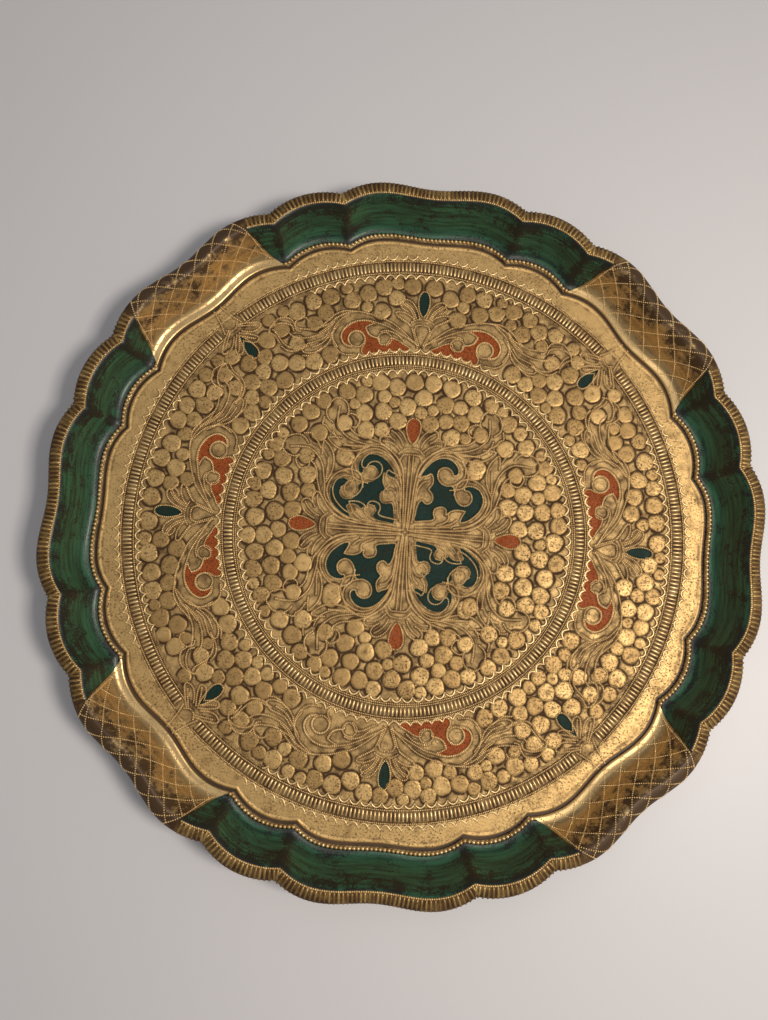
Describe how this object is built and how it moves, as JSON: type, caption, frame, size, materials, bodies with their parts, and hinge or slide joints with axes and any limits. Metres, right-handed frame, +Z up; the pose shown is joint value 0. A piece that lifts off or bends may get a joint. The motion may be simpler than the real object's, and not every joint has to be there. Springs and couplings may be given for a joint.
{
  "type": "gilded tray",
  "caption": "Round gilded wood and gesso tray: embossed floor with pebbles and scrolls, scalloped coved rim in green with gold lattice panels and a ribbed edge.",
  "frame": {"origin": "centre of the tray on the plane it rests on", "axes": "+Z up out of the tray, along its axis; front at -Y, the painted sections face +X, -X, +Y and -Y and the lattice panels lie on the diagonals"},
  "size_m": [0.4012, 0.4012, 0.0302],
  "materials": {
    "gilt_floor": "matte antique gold on embossed gesso, brown patina in the recesses, some fields painted green and red",
    "gilt_panel": "burnished gold with a raised dotted lattice and brown patina towards the edge",
    "gilt_edge": "ribbed antique gold, worn and browned between the ribs",
    "gilt_beads": "string of gold pearls",
    "green_paint": "semi-gloss dark green with black brush streaks",
    "rim_back": "umber wash over shaped wood, gold showing at the edge",
    "board_wood": "stained plywood underside",
    "key_wood": "bare hardwood"
  },
  "bodies": {
    "root": {"floor_board": "board_wood", "embossed_floor_panel": "gilt_floor", "rim_segment_front": "rim_back", "rim_segment_right": "rim_back", "rim_segment_back": "rim_back", "rim_segment_left": "rim_back", "joint_key_front_right": "key_wood", "joint_key_back_right": "key_wood", "joint_key_back_left": "key_wood", "joint_key_front_left": "key_wood", "green_cove_front": "green_paint", "green_cove_right": "green_paint", "green_cove_back": "green_paint", "green_cove_left": "green_paint", "bead_strip_front": "gilt_beads", "bead_strip_right": "gilt_beads", "bead_strip_back": "gilt_beads", "bead_strip_left": "gilt_beads", "ribbed_edge_front": "gilt_edge", "ribbed_edge_right": "gilt_edge", "ribbed_edge_back": "gilt_edge", "ribbed_edge_left": "gilt_edge", "lattice_panel_front_right": "gilt_panel", "lattice_panel_back_right": "gilt_panel", "lattice_panel_back_left": "gilt_panel", "lattice_panel_front_left": "gilt_panel"}
  },
  "joints": []
}
